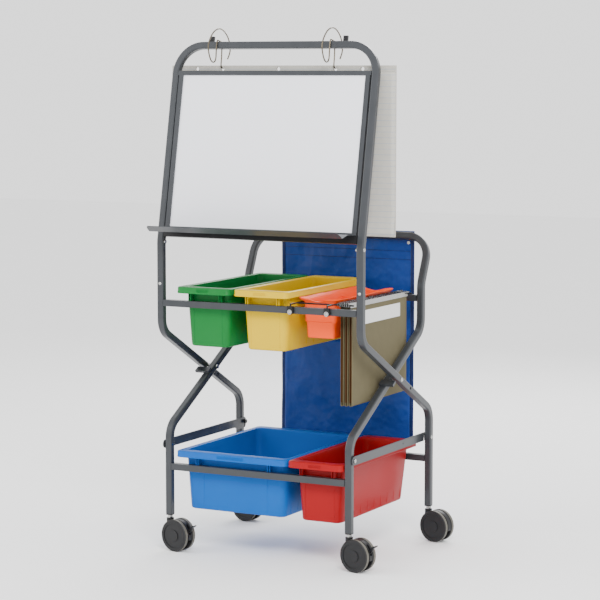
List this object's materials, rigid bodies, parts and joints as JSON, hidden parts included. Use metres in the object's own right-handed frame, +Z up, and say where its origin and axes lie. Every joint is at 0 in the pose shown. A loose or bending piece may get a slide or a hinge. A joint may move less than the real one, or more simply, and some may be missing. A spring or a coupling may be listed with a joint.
{
  "type": "flip chart easel",
  "caption": "Mobile teaching easel with a leaning white board, chart hooks and pad, rear fabric chart, lift-out tubs, a caddy and hanging folders on twin-wheel casters.",
  "frame": {"origin": "on the floor under the middle of the overall box", "axes": "+Z up; the board faces -Y; +X is to a viewer's right as they face the board"},
  "size_m": [0.8146, 0.7002, 1.6232],
  "materials": {
    "frame_steel": "satin charcoal powder coat",
    "zinc": "bright zinc plate",
    "board": "white dry-erase face",
    "black_steel": "black satin paint",
    "hook_wire": "nickel plated spring wire",
    "black_plastic": "moulded nylon",
    "paper": "ruled chart paper",
    "board_back": "grey-brown backing board",
    "blue_fabric": "coated woven polyester",
    "rubber": "cushion rubber",
    "folder_paper": "olive folder card",
    "orange_plastic": "moulded polypropylene",
    "green_plastic": "moulded polypropylene",
    "yellow_plastic": "moulded polypropylene",
    "blue_plastic": "moulded polypropylene",
    "red_plastic": "moulded polypropylene",
    "wheel_plastic": "moulded nylon",
    "tread": "polyurethane tread"
  },
  "bodies": {
    "easel": {"easel_tube": "frame_steel", "leg_tube_left": "frame_steel", "leg_tube_right": "frame_steel", "front_shelf_rail": "frame_steel", "rear_low_rail": "frame_steel", "rear_frame_tube": "frame_steel", "front_low_rail": "frame_steel", "rear_shelf_rail": "frame_steel", "cross_bolts": "zinc", "stop_plates": "frame_steel", "frame_bolts": "zinc", "board_panel": "board", "board_channel_top": "frame_steel", "board_channels_side": "frame_steel", "board_rail_bottom": "black_steel", "tray": "frame_steel", "chart_hook_left": "hook_wire", "chart_hook_right": "hook_wire", "hook_stops": "black_plastic", "rear_chart": "blue_fabric", "chart_snaps": "zinc", "file_rack": "black_steel", "rack_clamps": "rubber", "clamp_screws": "zinc", "latch_caps": "black_plastic", "leg_sockets": "black_plastic", "caster_stems": "zinc"},
    "pad": {"pad_sheets": "paper", "pad_backing": "board_back"},
    "folder_inner_body": {"folder_inner": "folder_paper", "rods_inner": "zinc"},
    "folder_middle_body": {"folder_middle": "folder_paper", "rods_middle": "zinc"},
    "folder_outer_body": {"folder_outer": "folder_paper", "rods_outer": "zinc"},
    "caddy_body": {"caddy": "orange_plastic"},
    "green_tub": {"tub_green": "green_plastic"},
    "yellow_tub": {"tub_yellow": "yellow_plastic"},
    "blue_tub": {"tub_blue": "blue_plastic"},
    "red_tub": {"tub_red": "red_plastic"},
    "left_tie_bar": {"tie_bar_left": "frame_steel"},
    "right_tie_bar": {"tie_bar_right": "frame_steel"},
    "caster_fl": {"hood_fl": "black_plastic", "axle_fl": "zinc"},
    "wheel_fl": {"wheels_fl": "wheel_plastic", "treads_fl": "tread"},
    "caster_fr": {"hood_fr": "black_plastic", "axle_fr": "zinc"},
    "wheel_fr": {"wheels_fr": "wheel_plastic", "treads_fr": "tread"},
    "caster_rl": {"hood_rl": "black_plastic", "axle_rl": "zinc"},
    "wheel_rl": {"wheels_rl": "wheel_plastic", "treads_rl": "tread"},
    "caster_rr": {"hood_rr": "black_plastic", "axle_rr": "zinc"},
    "wheel_rr": {"wheels_rr": "wheel_plastic", "treads_rr": "tread"},
    "brake_lever_fl": {"brake_fl": "black_plastic"},
    "brake_lever_fr": {"brake_fr": "black_plastic"}
  },
  "joints": [
    {"name": "swivel_fl", "type": "hinge", "parent": "easel", "child": "caster_fl", "pos_m": [-0.3363, -0.2391, 0.066], "axis": [0, 0, 1], "continuous": true},
    {"name": "roll_fl", "type": "hinge", "parent": "caster_fl", "child": "wheel_fl", "pos_m": [-0.3038, -0.24483, 0.05], "axis": [0.1736, 0.9848, 0], "continuous": true},
    {"name": "swivel_fr", "type": "hinge", "parent": "easel", "child": "caster_fr", "pos_m": [0.2897, -0.2391, 0.066], "axis": [0, 0, 1], "continuous": true},
    {"name": "roll_fr", "type": "hinge", "parent": "caster_fr", "child": "wheel_fr", "pos_m": [0.3222, -0.24483, 0.05], "axis": [0.1736, 0.9848, 0], "continuous": true},
    {"name": "swivel_rl", "type": "hinge", "parent": "easel", "child": "caster_rl", "pos_m": [-0.3683, 0.2639, 0.066], "axis": [0, 0, 1], "continuous": true},
    {"name": "roll_rl", "type": "hinge", "parent": "caster_rl", "child": "wheel_rl", "pos_m": [-0.3358, 0.25817, 0.05], "axis": [0.1736, 0.9848, 0], "continuous": true},
    {"name": "swivel_rr", "type": "hinge", "parent": "easel", "child": "caster_rr", "pos_m": [0.3217, 0.2639, 0.066], "axis": [0, 0, 1], "continuous": true},
    {"name": "roll_rr", "type": "hinge", "parent": "caster_rr", "child": "wheel_rr", "pos_m": [0.3542, 0.25817, 0.05], "axis": [0.1736, 0.9848, 0], "continuous": true},
    {"name": "brake_fl", "type": "hinge", "parent": "caster_fl", "child": "brake_lever_fl", "pos_m": [-0.26342, -0.25195, 0.064], "axis": [0.1736, 0.9848, 0], "range_deg": [0, 25]},
    {"name": "brake_fr", "type": "hinge", "parent": "caster_fr", "child": "brake_lever_fr", "pos_m": [0.36258, -0.25195, 0.064], "axis": [0.1736, 0.9848, 0], "range_deg": [0, 25]},
    {"name": "lift_green_tub", "type": "slide", "parent": "easel", "child": "green_tub", "axis": [0, 0, 1], "range_m": [0, 0.13]},
    {"name": "lift_yellow_tub", "type": "slide", "parent": "easel", "child": "yellow_tub", "axis": [0, 0, 1], "range_m": [0, 0.13]},
    {"name": "lift_blue_tub", "type": "slide", "parent": "easel", "child": "blue_tub", "axis": [0, 0, 1], "range_m": [0, 0.15]},
    {"name": "lift_red_tub", "type": "slide", "parent": "easel", "child": "red_tub", "axis": [0, 0, 1], "range_m": [0, 0.15]},
    {"name": "lift_caddy", "type": "slide", "parent": "easel", "child": "caddy_body", "axis": [0, 0, 1], "range_m": [0, 0.12]},
    {"name": "lift_folder_inner", "type": "slide", "parent": "easel", "child": "folder_inner_body", "axis": [0, 0, 1], "range_m": [0, 0.15]},
    {"name": "lift_folder_middle", "type": "slide", "parent": "easel", "child": "folder_middle_body", "axis": [0, 0, 1], "range_m": [0, 0.15]},
    {"name": "lift_folder_outer", "type": "slide", "parent": "easel", "child": "folder_outer_body", "axis": [0, 0, 1], "range_m": [0, 0.15]},
    {"name": "pad_swing", "type": "hinge", "parent": "easel", "child": "pad", "pos_m": [-0.0303, -0.0881, 1.5], "axis": [1, 0, 0], "range_deg": [-6, 20]},
    {"name": "left_tie_bar_lift", "type": "hinge", "parent": "easel", "child": "left_tie_bar", "pos_m": [-0.3523, -0.2391, 0.333], "axis": [1, 0, 0], "range_deg": [0, 30]},
    {"name": "right_tie_bar_lift", "type": "hinge", "parent": "easel", "child": "right_tie_bar", "pos_m": [0.3057, -0.2391, 0.333], "axis": [1, 0, 0], "range_deg": [0, 30]}
  ]
}
